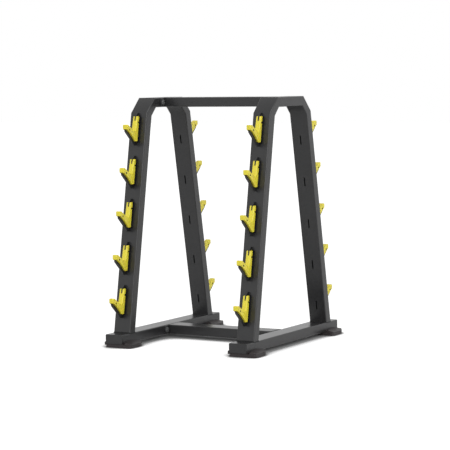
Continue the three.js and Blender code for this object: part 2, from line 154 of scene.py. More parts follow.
@dataclass(frozen=True)
class Finish:
    """A surface finish: what the maker calls it, and how it takes light.

    The base colour drifts between two shades over a real distance, and a fine grain gives the skin.
    """

    name: str
    slot: Slot
    shade: str
    second_shade: str
    roughness: float
    roughness_spread: float
    drift_size: float
    grain_size: float
    grain_height: float
    index: float = 1.5

    def material(self) -> bpy.types.Material:
        """Gives this finish's material, made on first use."""
        known = bpy.data.materials.get(self.name)
        return known or self.make()

    def make(self) -> bpy.types.Material:
        """Builds the material's nodes.

        Returns:
            The new material.
        """
        material = bpy.data.materials.new(self.name)
        material.use_nodes = True
        tree = material.node_tree
        tree.nodes.clear()
        place = add_node(tree, "ShaderNodeTexCoord").outputs["Object"]
        drift = add_node(tree, "ShaderNodeTexNoise",
                         {"Scale": per_mm(self.drift_size), "Detail": 4.0, "Roughness": 0.55},
                         {"Vector": place})
        spread = add_node(tree, "ShaderNodeMapRange", {"From Min": 0.3, "From Max": 0.7},
                          {"Value": drift.outputs["Fac"]})
        tint = add_node(tree, "ShaderNodeMix",
                        {"data_type": "RGBA", 6: linear(self.shade), 7: linear(self.second_shade)},
                        {0: spread.outputs["Result"]})
        sheen = add_node(tree, "ShaderNodeMapRange",
                         {"From Min": 0.3, "From Max": 0.7, "To Min": self.roughness - self.roughness_spread,
                          "To Max": self.roughness + self.roughness_spread},
                         {"Value": drift.outputs["Fac"]})
        bump = add_node(tree, "ShaderNodeBump", {"Strength": 1.0, "Distance": self.grain_height * MM},
                        {"Height": self.skin(tree, place)})
        shader = add_node(tree, "ShaderNodeBsdfPrincipled", links={
            "Base Color": tint.outputs[2], "Roughness": sheen.outputs["Result"],
            "Normal": bump.outputs["Normal"]})
        self.dress(shader)
        add_node(tree, "ShaderNodeOutputMaterial", links={"Surface": shader.outputs["BSDF"]})
        return material

    def skin(self, tree: bpy.types.NodeTree, place: bpy.types.NodeSocket) -> bpy.types.NodeSocket:
        """Adds the grain that roughens the skin, and gives the output that holds its height."""
        grain = add_node(tree, "ShaderNodeTexNoise",
                         {"Scale": per_mm(self.grain_size), "Detail": 2.0, "Roughness": 0.4},
                         {"Vector": place})
        return grain.outputs["Fac"]

    def dress(self, shader: bpy.types.Node) -> None:
        """Sets the surface shader's constants."""
        shader.inputs["IOR"].default_value = self.index


@dataclass(frozen=True)
class MouldedPlastic(Finish):
    """A moulded plastic, which lets a little light in under its skin."""

    glow_depth: float = 1.0
    glow_share: float = 0.0

    def dress(self, shader: bpy.types.Node) -> None:
        """Sets the constants, and the light that spreads under the skin.

        Args:
            shader: The surface shader.
        """
        Finish.dress(self, shader)
        shader.inputs["Subsurface Weight"].default_value = self.glow_share
        shader.inputs["Subsurface Scale"].default_value = self.glow_depth * MM


@dataclass(frozen=True)
class WeldBead(Finish):
    """A painted weld, whose ripples lie across its run."""

    ripple_pitch: float = 4.0

    def skin(self, tree: bpy.types.NodeTree, place: bpy.types.NodeSocket) -> bpy.types.NodeSocket:
        """Adds the ripples, a few millimetres apart, and gives the output that holds their height."""
        ripples = add_node(tree, "ShaderNodeTexWave",
                           {"wave_type": "RINGS", "rings_direction": "SPHERICAL",
                            "Scale": per_mm(self.ripple_pitch) / math.tau, "Distortion": 1.5, "Detail": 1.0},
                           {"Vector": place})
        return ripples.outputs["Fac"]


# Polyester powder coat, sprayed dry and baked: a satin skin with a faint orange peel that softens
# every reflection. The real peel is about 1.5 mm; it is drawn at 5 mm so that it can be seen.
FRAME_COAT = Finish("powder_coat_satin_charcoal", Slot.FRAME, shade="202021", second_shade="252526",
                    roughness=0.3, roughness_spread=0.02, drift_size=160.0, grain_size=5.0, grain_height=0.03)

# The same dark coat on the laser-cut hook plates, drawn darker than on the tubes: the extra darkness is
# painted shade for the deep shadow round each liner. A thin sheen runs along their upper edges.
PLATE_COAT_AND_SHADE = Finish("plate_coat_with_painted_shade", Slot.PLATE, shade="0f0f10", second_shade="131314",
                    roughness=0.34, roughness_spread=0.02, drift_size=60.0, grain_size=4.0, grain_height=0.03,
                    index=1.47)

# Powder coat over a gas-shielded weld, with the bead's ripples below it. Its near-black colour,
# darker than the tubes, is painted shade for the dark crease where the parts meet.
WELD_COAT_AND_SHADE = WeldBead("weld_coat_with_painted_shade", Slot.FRAME, shade="0b0b0c", second_shade="0f0f10",
                     roughness=0.5, roughness_spread=0.03, drift_size=40.0, grain_size=5.0, grain_height=0.35,
                     index=1.36)

# Cast polyurethane, through-coloured: a dense yellow with a soft sheen and a cloudy depth.
LINER_PLASTIC = MouldedPlastic("cast_polyurethane_yellow", Slot.LINER, shade="dccf39", second_shade="d8c935",
                               roughness=0.28, roughness_spread=0.03, drift_size=45.0, grain_size=4.0,
                               grain_height=0.03, glow_depth=2.0, glow_share=0.05)

# Moulded rubber: black in the mass and brown in the light, with the fine grit of its blasted
# mould. The grit of about 0.5 mm is drawn at 2.5 mm so that it can be seen.
FOOT_RUBBER = Finish("moulded_rubber_brown_black", Slot.FOOT, shade="262122", second_shade="2c2728",
                     roughness=0.5, roughness_spread=0.05, drift_size=70.0, grain_size=2.5, grain_height=0.05,
                     index=1.42)

# A black, dull sheet in the gap behind each liner: painted shade, a dark sheet standing for the deep shadow
# between liner and leg.
PAINTED_SHADE_SHEET = Finish("black_sheet_painted_shade", Slot.FOOT, shade="080808", second_shade="0c0c0c",
                        roughness=0.6, roughness_spread=0.03, drift_size=25.0, grain_size=2.0,
                        grain_height=0.02, index=1.3)

# Carbon steel under a dip-spun coat of zinc flakes: a dull, even grey with hardly a highlight.
BOLT_STEEL = Finish("zinc_flake_coated_steel", Slot.STEEL, shade="484949", second_shade="414243",
                    roughness=0.55, roughness_spread=0.05, drift_size=18.0, grain_size=2.0, grain_height=0.02)

# Alloy steel, black oxide from a hot bath: nearly black, with an oily sheen. It also colours the black
# sleeve in each screw's hole, which is painted shade for the hollow.
SCREW_STEEL_AND_SHADE = Finish("black_oxide_steel_and_painted_shade", Slot.STEEL, shade="080808", second_shade="0c0c0c",
                     roughness=0.5, roughness_spread=0.05, drift_size=8.0, grain_size=1.5, grain_height=0.02)


# Workshop: one piece of stock at a time, shaped with Blender's own operators


def clear_selection() -> None:
    """Leaves edit mode and deselects every object."""
    if bpy.context.active_object and bpy.context.active_object.mode != "OBJECT":
        bpy.ops.object.mode_set(mode="OBJECT")
    bpy.ops.object.select_all(action="DESELECT")


class Workpiece:
    """One mesh object. Its methods take millimetres."""

    def __init__(self, obj: bpy.types.Object, name: str) -> None:
        """Takes over an object.

        Args:
            obj: The object.
            name: Its new name.
        """
        self.obj = obj
        obj.name = name
        obj.data.name = name

    @classmethod
    def block(cls, name: str, low: Sequence[float], high: Sequence[float]) -> Workpiece:
        """Cuts a block of stock.

        Args:
            name: The piece's name.
            low: Its lowest corner.
            high: Its highest corner.

        Returns:
            The block.
        """
        clear_selection()
        lowest, highest = Vector(low), Vector(high)
        bpy.ops.mesh.primitive_cube_add(size=1.0, location=(lowest + highest) * (MM / 2),
                                        scale=(highest - lowest) * MM)
        bpy.ops.object.transform_apply(location=True, rotation=True, scale=True)
        return cls(bpy.context.active_object, name)

    @classmethod
    def traced(cls, name: str, points: Sequence[Sequence[float]]) -> Workpiece:
        """Draws a line of edges from point to point, by extruding one vertex.

        Args:
            name: The piece's name.
            points: The line's points in space.

        Returns:
            The line, left in edit mode.
        """
        clear_selection()
        bpy.ops.mesh.primitive_plane_add(size=MM, location=(0, 0, 0))
        piece = cls(bpy.context.active_object, name)
        bpy.ops.object.mode_set(mode="EDIT")
        bpy.ops.mesh.select_mode(type="VERT")
        bpy.ops.mesh.select_all(action="SELECT")
        bpy.ops.mesh.merge(type="CENTER")
        bpy.ops.transform.translate(value=Vector(points[0]) * MM)
        for before, after in zip(points, points[1:]):
            step = (Vector(after) - Vector(before)) * MM
            bpy.ops.mesh.extrude_region_move(TRANSFORM_OT_translate={"value": step})
        return piece

    @classmethod
    def prism(cls, name: str, points: Sequence[Sequence[float]], run: Sequence[float]) -> Workpiece:
        """Traces a closed outline, fills it and extrudes it.

        Args:
            name: The piece's name.
            points: The outline's points in space, all in one plane.
            run: How far the outline is extruded.

        Returns:
            The prism.
        """
        piece = cls.traced(name, points)
        bpy.ops.mesh.select_all(action="SELECT")
        bpy.ops.mesh.edge_face_add()
        bpy.ops.mesh.extrude_region_move(TRANSFORM_OT_translate={"value": Vector(run) * MM})
        return piece.close_up()

    @classmethod
    def slab(cls, name: str, outline: Sequence[Point], width: float) -> Workpiece:
        """Extrudes an outline of (y, z) points evenly to both sides of X = 0."""
        return cls.prism(name, [(-width / 2, y, z) for y, z in outline], (width, 0, 0))

    @classmethod
    def turned(cls, name: str, profile: Sequence[Point], axis: Sequence[float], sides: int) -> Workpiece:
        """Turns a profile about an axis through the origin, as on a lathe.

        Args:
            name: The piece's name.
            profile: Points as (distance along the axis, radius).
            axis: The axis, a unit vector along X, Y or Z.
            sides: How many steps make the full turn.

        Returns:
            The turned piece.
        """
        along = Vector(axis)
        outward = Vector((along.z, along.x, along.y))
        piece = cls.traced(name, [along * place + outward * radius for place, radius in profile])
        bpy.ops.mesh.select_all(action="SELECT")
        bpy.ops.mesh.spin(steps=sides, angle=math.tau, center=(0, 0, 0), axis=along)
        bpy.ops.mesh.select_all(action="SELECT")
        bpy.ops.mesh.remove_doubles(threshold=MM / 100)
        return piece.close_up()

    def close_up(self) -> Workpiece:
        """Turns all faces outwards and leaves edit mode.

        Returns:
            This piece.
        """
        bpy.ops.mesh.select_all(action="SELECT")
        bpy.ops.mesh.normals_make_consistent(inside=False)
        bpy.ops.object.mode_set(mode="OBJECT")
        return self

    def activate(self) -> None:
        """Makes this the one selected and active object."""
        clear_selection()
        self.obj.select_set(True)
        bpy.context.view_layer.objects.active = self.obj

    def choose_edges(self, wanted: EdgeTest) -> int:
        """Selects edges by their place and goes to edit mode.

        Args:
            wanted: Says of an edge's two ends, in millimetres, whether it is taken.

        Returns:
            How many edges are selected.
        """
        self.activate()
        mesh = self.obj.data
        for group in (mesh.vertices, mesh.edges, mesh.polygons):
            group.foreach_set("select", [False] * len(group))
        count = 0
        for edge in mesh.edges:
            first, second = (mesh.vertices[index] for index in edge.vertices)
            if wanted(first.co / MM, second.co / MM):
                edge.select = first.select = second.select = True
                count += 1
        bpy.context.tool_settings.mesh_select_mode = (False, True, False)
        bpy.ops.object.mode_set(mode="EDIT")
        return count

    def round_edges(self, radius: float, steps: int, wanted: EdgeTest) -> Workpiece:
        """Rounds chosen edges.

        Args:
            radius: The rounding's width.
            steps: How many faces make it.
            wanted: Says of an edge's two ends whether it is rounded.

        Returns:
            This piece.
        """
        if self.choose_edges(wanted):
            bpy.ops.mesh.bevel(offset=radius * MM, offset_type="OFFSET", segments=steps, profile=0.5,
                               affect="EDGES", clamp_overlap=False)
        return self.close_up()

    def soften(self, radius: float, steps: int, limit: float) -> Workpiece:
        """Rounds every edge sharper than a limit with a bevel modifier.

        Args:
            radius: The rounding's width.
            steps: How many faces make it.
            limit: The least turn, in degrees, that counts as an edge.

        Returns:
            This piece.
        """
        bevel = self.obj.modifiers.new("soften", "BEVEL")
        bevel.width = radius * MM
        bevel.segments = steps
        bevel.limit_method = "ANGLE"
        bevel.angle_limit = math.radians(limit)
        return self.apply(bevel)

    def slice_off(self, place: Sequence[float], away: Sequence[float]) -> Workpiece:
        """Saws along a plane and drops what lies beyond it.

        Args:
            place: A point of the plane.
            away: The plane's normal, which points to the waste.

        Returns:
            This piece.
        """
        self.activate()
        bpy.ops.object.mode_set(mode="EDIT")
        bpy.ops.mesh.select_all(action="SELECT")
        bpy.ops.mesh.bisect(plane_co=Vector(place) * MM, plane_no=Vector(away), use_fill=True,
                            clear_outer=True)
        return self.close_up()

    def join(self, other: Workpiece, joining: Joining) -> Workpiece:
        """Cuts away, adds or intersects another solid, and uses it up.

        Args:
            other: The other solid.
            joining: What it does.

        Returns:
            This piece.
        """
        boolean = self.obj.modifiers.new("join", "BOOLEAN")
        boolean.operation = joining.value
        boolean.solver = "EXACT"
        boolean.object = other.obj
        self.apply(boolean)
        other.discard()
        return self

    def apply(self, modifier: bpy.types.Modifier) -> Workpiece:
        """Applies a modifier.

        Args:
            modifier: The modifier.

        Returns:
            This piece.
        """
        self.activate()
        bpy.ops.object.modifier_apply(modifier=modifier.name)
        return self

    def discard(self) -> None:
        """Throws the piece away."""
        mesh = self.obj.data
        bpy.data.objects.remove(self.obj)
        bpy.data.meshes.remove(mesh)

    def smooth(self, limit: float) -> Workpiece:
        """Smooths the shading of turns below a limit, with flat faces kept flat.

        Args:
            limit: The least turn, in degrees, that stays a sharp edge.

        Returns:
            This piece.
        """
        self.activate()
        bpy.ops.object.shade_smooth_by_angle(angle=math.radians(limit))
        weighting = self.obj.modifiers.new("weighting", "WEIGHTED_NORMAL")
        weighting.keep_sharp = True
        return self.apply(weighting)

    def moved(self, matrix: Matrix) -> Workpiece:
        """Moves the mesh itself by a move in millimetres, so that the object stays at the origin."""
        self.obj.data.transform(in_metres(matrix))
        return self

    def copy(self, name: str, matrix: Matrix) -> Workpiece:
        """Copies the piece, with a mesh of its own.

        Args:
            name: The copy's name.
            matrix: Where the copy goes, in millimetres.

        Returns:
            The copy.
        """
        twin = bpy.data.objects.new(name, self.obj.data.copy())
        bpy.context.scene.collection.objects.link(twin)
        return Workpiece(twin, name).moved(matrix)

    def finish(self, finish: Finish, nodes: Iterable[str] = ()) -> Workpiece:
        """Paints the piece, hangs it on its body and hides the CAD nodes that it replaces.

        Args:
            finish: The surface finish.
            nodes: The CAD nodes that it replaces.

        Returns:
            This piece.
        """
        self.obj.data.materials.clear()
        self.obj.data.materials.append(finish.material())
        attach(self.obj, ROOT)
        names = list(nodes)
        if names:
            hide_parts(*names)
        LOG.info("%s: %d faces, %s", self.obj.name, len(self.obj.data.polygons), finish.name)
        return self


def in_metres(matrix: Matrix) -> Matrix:
    """Turns a move written in millimetres to metres.

    Args:
        matrix: The move.

    Returns:
        The same move in metres.
    """
    result = matrix.copy()
    result.translation = matrix.translation * MM
    return result


def in_side_faces(half: float) -> EdgeTest:
    """Gives the test for edges in either of the side faces, each at a distance from X = 0."""
    return lambda first, second: abs(abs(first.x) - half) < 0.01 and abs(first.x - second.x) < 0.01


def node_box(node: str) -> tuple[Vector, Vector]:
    """Gives the lowest and the highest corner of a CAD node, in millimetres."""
    low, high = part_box(node)
    return Vector(low) / MM, Vector(high) / MM


# Outlines


@dataclass(frozen=True)
class Line:
    """A straight line of a drawing: a point on it and its direction."""

    start: Vector
    along: Vector

    @classmethod
    def level(cls, height: float) -> Line:
        """Gives the level line at a height."""
        return cls(Vector((0.0, height)), Vector((1.0, 0.0)))

    @classmethod
    def through(cls, first: Point, second: Point, inset: float) -> Line:
        """Gives the line through two points, moved to its left.

        Args:
            first: The first point.
            second: The second point.
            inset: How far the line is moved.

        Returns:
            The line.
        """
        along = (Vector(second) - Vector(first)).normalized()
        return cls(Vector(first) + Vector((-along.y, along.x)) * inset, along)

    def meet(self, other: Line) -> Point:
        """Finds where two lines cross.

        Args:
            other: The other line.

        Returns:
            The crossing point.
        """
        across = self.along.x * other.along.y - self.along.y * other.along.x
        apart = other.start - self.start
        distance = (apart.x * other.along.y - apart.y * other.along.x) / across
        point = self.start + self.along * distance
        return point.x, point.y


def rounded(corners: Sequence[Corner], steps: int) -> list[Point]:
    """Draws an outline whose corners may be rounded.

    Args:
        corners: Points as (x, y, radius); a radius of zero stays sharp.
        steps: How many chords make each arc.

    Returns:
        The outline's points.
    """
    outline: list[Point] = []
    count = len(corners)
    for index, (x, y, radius) in enumerate(corners):
        here = Vector((x, y))
        if radius <= 0:
            outline.append((x, y))
            continue
        back = (Vector(corners[index - 1][:2]) - here).normalized()
        forward = (Vector(corners[(index + 1) % count][:2]) - here).normalized()
        half_angle = back.angle(forward) / 2
        centre = here + (back + forward).normalized() * (radius / math.sin(half_angle))
        start = here + back * (radius / math.tan(half_angle)) - centre
        end = here + forward * (radius / math.tan(half_angle)) - centre
        turn = start.angle_signed(end)
        for step in range(steps + 1):
            angle = math.atan2(start.y, start.x) - turn * step / steps
            outline.append((centre.x + radius * math.cos(angle), centre.y + radius * math.sin(angle)))
    return outline


def curve(start: Point, pull: Point, end: Point, steps: int) -> list[Point]:
    """Draws a curve that a middle point pulls.

    Args:
        start: The first point.
        pull: The point that pulls the curve.
        end: The last point.
        steps: How many chords make it.

    Returns:
        The curve's points.
    """
    result: list[Point] = []
    for step in range(steps + 1):
        t = step / steps
        point = Vector(start) * (1 - t) ** 2 + Vector(pull) * (2 * t * (1 - t)) + Vector(end) * t ** 2
        result.append((point.x, point.y))
    return result


# Sub-assemblies


@dataclass
class SideFrame:
    """One side frame: an arch of two leaning legs and a top tube, on a base beam with end plates."""

    side: Side
    # The tube
    tube_width: float = 120.0
    tube_depth: float = 60.0
    corner_radius: float = 6.0
    wall: float = 3.0
    edge_steps: int = 5
    # The arch: how far the outer faces are from the middle, and how far below the top
    leg_reach: float = 499.0
    shoulder_reach: float = 259.0
    shoulder_drop: float = 92.0
    crown_reach: float = 166.0
    elbow_depth: float = 55.0
    # The slots for the hook plates' tabs, below each plate's hanging point
    slot_width: float = 8.6
    slot_height: float = 56.6
    slot_drop: float = 105.0
    # The base beam's end plates and the welds at the legs' feet
    end_plate: float = 4.0
    end_groove: float = 1.2
    end_edge: float = 1.6
    weld: float = 5.5
    weld_bed: float = 5.0
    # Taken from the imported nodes
    centre: Vector = field(init=False)
    low: Vector = field(init=False)
    high: Vector = field(init=False)
    top: float = field(init=False)

    def __post_init__(self) -> None:
        """Takes the frame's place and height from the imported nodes."""
        self.low, self.high = node_box(f"{self.side.value}_base_beam")
        self.centre = (self.low + self.high) / 2
        self.top = node_box(f"{self.side.value}_top_tube")[1].z

    def build(self) -> None:
        """Builds and dresses every piece of the side frame."""
        name = self.side.value
        home = Matrix.Translation((self.centre.x, 0, 0))
        leg = self.leg(f"{name}_rear_leg")
        ring = self.leg_weld(f"{name}_rear_leg_weld")
        for end in (End.FRONT, End.REAR):
            place = home @ Matrix.Rotation(end.turn, 4, "Z")
            node = f"{name}_{end.label}_leg"
            leg.copy(f"{node}_tube", place).finish(FRAME_COAT, [node])
            ring.copy(f"{node}_foot_weld", place).finish(WELD_COAT_AND_SHADE)
        leg.discard()
        ring.discard()
        self.top_tube(f"{name}_top_tube_stock").moved(home).finish(FRAME_COAT, [f"{name}_top_tube"])
        self.base_beam(f"{name}_base_beam_tube").moved(home).finish(FRAME_COAT, [f"{name}_base_beam"])
        cap = self.end_cap(f"{name}_end_plate")
        for end in (End.FRONT, End.REAR):
            place = home @ Matrix.Rotation(end.turn, 4, "Z")
            cap.copy(f"{name}_{end.label}_end_plate", place).finish(FRAME_COAT)
        cap.discard()

    def corners(self, leg_inset: float, elbow_inset: float, top_inset: float, floor: float) -> list[Point]:
        """Finds the corners of the rear half of the arch, each face moved inwards.

        Args:
            leg_inset: How far the leg's face is moved.
            elbow_inset: How far the elbow's face is moved.
            top_inset: How far the top face is moved.
            floor: The height where the leg ends.

        Returns:
            The corners as (y, z), from the floor up.
        """
        foot = (self.leg_reach, self.high.z)
        shoulder = (self.shoulder_reach, self.top - self.shoulder_drop)
        crown = (self.crown_reach, self.top)
        leg_line = Line.through(foot, shoulder, leg_inset)
        elbow_line = Line.through(shoulder, crown, elbow_inset)
        top_line = Line.through(crown, (0.0, self.top), top_inset)
        return [leg_line.meet(Line.level(floor)), leg_line.meet(elbow_line), elbow_line.meet(top_line)]

    def arch(self, name: str, inset: float, floor: float, width: float) -> Workpiece:
        """Extrudes the whole arch, legs and top in one.

        Args:
            name: The piece's name.
            inset: How far every face is moved towards the tube's middle.
            floor: The height where the legs end.
            width: The arch's width across the rack.

        Returns:
            The arch.
        """
        outer = self.corners(inset, inset, inset, floor)
        far, far_in_elbow = self.tube_depth - inset, self.elbow_depth - inset
        inner = self.corners(far, far_in_elbow, far, floor)
        outline = outer + [(-y, z) for y, z in reversed(outer)]
        outline += [(-y, z) for y, z in inner] + list(reversed(inner))
        return Workpiece.slab(name, outline, width)

    def hollow_arch(self, name: str) -> Workpiece:
        """Bends the tube into the arch: rounded long edges outside, hollow inside.

        Args:
            name: The piece's name.

        Returns:
            The hollow arch, its legs still running down into the base beam.
        """
        floor = self.low.z
        tube = self.arch(name, 0.0, floor, self.tube_width)
        on_side = in_side_faces(self.tube_width / 2)
        tube.round_edges(self.corner_radius, self.edge_steps,
                         lambda first, second: on_side(first, second) and max(first.z, second.z) > floor + 1)
        bore = self.arch(f"{name}_bore", self.wall, floor - self.tube_depth, self.tube_width - self.wall * 2)
        return tube.join(bore, Joining.CUT)

    def mitre(self) -> tuple[Vector, Vector]:
        """Finds the saw cut between an elbow and the top tube.

        Returns:
            A point of the cut and its normal towards the rear.
        """
        outer = Vector(self.corners(0, 0, 0, self.high.z)[2])
        inner = Vector(self.corners(self.tube_depth, self.elbow_depth, self.tube_depth, self.high.z)[2])
        along = (inner - outer).normalized()
        return Vector((0, outer.x, outer.y)), Vector((0, -along.y, along.x))

    def leg(self, name: str) -> Workpiece:
        """Makes the rear leg with its elbow and the slots for the hook tabs.

        Args:
            name: The piece's name.

        Returns:
            The leg.
        """
        place, away = self.mitre()
        leg = self.hollow_arch(name)
        leg.slice_off(place, -away)
        leg.slice_off((0, 0, self.high.z), (0, 0, -1))
        lean = math.atan2(self.leg_reach - self.shoulder_reach, self.top - self.shoulder_drop - self.high.z)
        for number in range(1, HOOKS_PER_LEG + 1):
            plate_high = node_box(f"{self.side.value}_rear_hook_plate_{number}")[1]
            middle = plate_high.z - BarHook.plate_top - self.slot_drop
            reach = self.leg_reach - (middle - self.high.z) * math.tan(lean)
            cutter = self.slot_cutter(f"{name}_slot")
            cutter.moved(Matrix.Translation((0, reach, middle)) @ Matrix.Rotation(lean, 4, "X"))
            leg.join(cutter, Joining.CUT)
        return leg.smooth(35)

    def slot_cutter(self, name: str) -> Workpiece:
        """Makes the block that cuts a tab's slots through both walls, the leg's outer face at Y = 0."""
        half_width, half_height = self.slot_width / 2, self.slot_height / 2
        return Workpiece.block(name, (-half_width, -self.tube_depth - self.wall, -half_height),
                               (half_width, self.tube_depth, half_height))

    def leg_weld(self, name: str) -> Workpiece:
        """Runs the fillet weld round the rear leg's foot.

        Args:
            name: The piece's name.

        Returns:
            The weld.
        """
        outer = self.corners(0, 0, 0, self.high.z)[0][0]
        inner = self.corners(self.tube_depth, 0, 0, self.high.z)[0][0]
        half_width, radius = self.tube_width / 2, self.corner_radius
        low, high = self.high.z - self.weld_bed, self.high.z + self.weld
        near, far = inner - self.weld, outer + self.weld
        flat = rounded([(-half_width, near, radius), (half_width, near, radius),
                        (half_width, far, radius), (-half_width, far, radius)], self.edge_steps)
        bead = Workpiece.prism(name, [(x, y, low) for x, y in flat], (0, 0, high - low))
        bead.round_edges(self.weld * 0.8, 3, lambda first, second: min(first.z, second.z) > high - 0.01)
        core = Workpiece.block(f"{name}_core", (self.wall - half_width, inner + self.wall, low - 1),
                               (half_width - self.wall, outer - self.wall, high + 1))
        return bead.join(core, Joining.CUT).smooth(50)

    def top_tube(self, name: str) -> Workpiece:
        """Makes the top tube between the two elbows.

        Args:
            name: The piece's name.

        Returns:
            The tube.
        """
        place, away = self.mitre()
        tube = self.hollow_arch(name)
        tube.slice_off(place, away)
        tube.slice_off((0, -place.y, place.z), (0, -away.y, away.z))
        return tube.smooth(35)

    def base_beam(self, name: str) -> Workpiece:
        """Makes the base beam's tube, a little short of its end plates.

        Args:
            name: The piece's name.

        Returns:
            The tube.
        """
        inset = self.end_plate + self.end_groove
        half_width = self.tube_width / 2
        tube = Workpiece.block(name, (-half_width, self.low.y + inset, self.low.z),
                               (half_width, self.high.y - inset, self.high.z))
        tube.round_edges(self.corner_radius, self.edge_steps,
                         lambda first, second: abs(first.y - second.y) > 1)
        return tube.smooth(35)

    def end_cap(self, name: str) -> Workpiece:
        """Makes the rear end plate, with the weld land that joins it to the tube.

        Args:
            name: The piece's name.

        Returns:
            The end plate.
        """
        half_width = self.tube_width / 2
        radius = self.corner_radius
        outline = rounded([(-half_width, self.low.z, radius), (half_width, self.low.z, radius),
                           (half_width, self.high.z, radius), (-half_width, self.high.z, radius)],
                          self.edge_steps)
        start = self.high.y - self.end_plate
        plate = Workpiece.prism(name, [(x, start, z) for x, z in outline], (0, self.end_plate, 0))
        rear = self.high.y
        plate.round_edges(self.end_edge, 3, lambda first, second: min(first.y, second.y) > rear - 0.01)
        inset = self.end_edge
        land = Workpiece.block(f"{name}_land",
                               (inset - half_width, start - self.end_groove * 2, self.low.z + inset),
                               (half_width - inset, start + self.end_plate / 2, self.high.z - inset))
        return plate.join(land, Joining.ADD).smooth(35)


